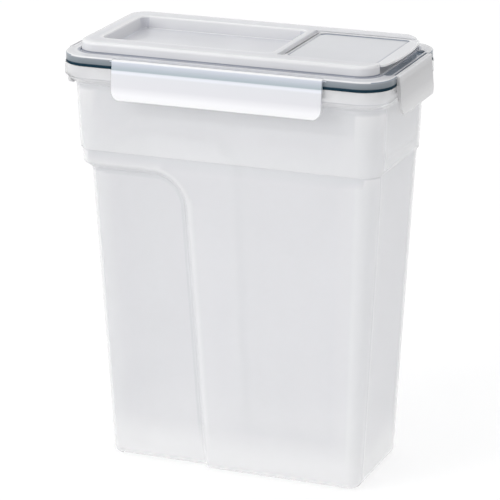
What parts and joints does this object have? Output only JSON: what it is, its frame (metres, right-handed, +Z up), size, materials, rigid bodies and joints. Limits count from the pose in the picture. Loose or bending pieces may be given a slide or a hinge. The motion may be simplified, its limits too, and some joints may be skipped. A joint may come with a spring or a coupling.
{
  "type": "cereal container with flip spout",
  "caption": "Tall tapered storage container with a hand grip, a sealed lid held by side clips, and a hinged pouring flap.",
  "frame": {"origin": "centre of the underside", "axes": "+X along the long side towards the pouring flap, front long side at -Y, +Z up"},
  "size_m": [0.2598, 0.1378, 0.323],
  "materials": {
    "body_plastic": "frosted translucent polypropylene, soft sheen",
    "lid_plastic": "translucent bluish grey plastic with polished edges",
    "flap_plastic": "translucent bluish grey plastic, smooth",
    "clip_plastic": "milky translucent plastic, smooth",
    "seal_rubber": "dark blue-green silicone rubber, satin"
  },
  "bodies": {
    "container": {"container": "body_plastic"},
    "lid": {"lid": "lid_plastic", "lid_seal": "seal_rubber"},
    "flap": {"spout_flap": "flap_plastic"},
    "front_clip": {"front_clip": "clip_plastic"},
    "back_clip": {"back_clip": "clip_plastic"},
    "left_clip": {"left_clip": "clip_plastic"},
    "right_clip": {"right_clip": "clip_plastic"}
  },
  "joints": [
    {"name": "lid_lift", "type": "slide", "parent": "container", "child": "lid", "axis": [0, 0, 1], "range_m": [0, 0.06]},
    {"name": "spout_hinge", "type": "hinge", "parent": "lid", "child": "flap", "pos_m": [0.0405, 0, 0.3199], "axis": [0, -1, 0], "range_deg": [0, 105]},
    {"name": "front_clip_hinge", "type": "hinge", "parent": "lid", "child": "front_clip", "pos_m": [0, -0.0631, 0.3129], "axis": [-1, 0, 0], "range_deg": [-4, 100]},
    {"name": "back_clip_hinge", "type": "hinge", "parent": "lid", "child": "back_clip", "pos_m": [0, 0.0631, 0.3129], "axis": [1, 0, 0], "range_deg": [-4, 100]},
    {"name": "left_clip_hinge", "type": "hinge", "parent": "lid", "child": "left_clip", "pos_m": [-0.1241, 0, 0.3129], "axis": [0, 1, 0], "range_deg": [-4, 100]},
    {"name": "right_clip_hinge", "type": "hinge", "parent": "lid", "child": "right_clip", "pos_m": [0.1241, 0, 0.3129], "axis": [0, -1, 0], "range_deg": [-4, 100]}
  ]
}
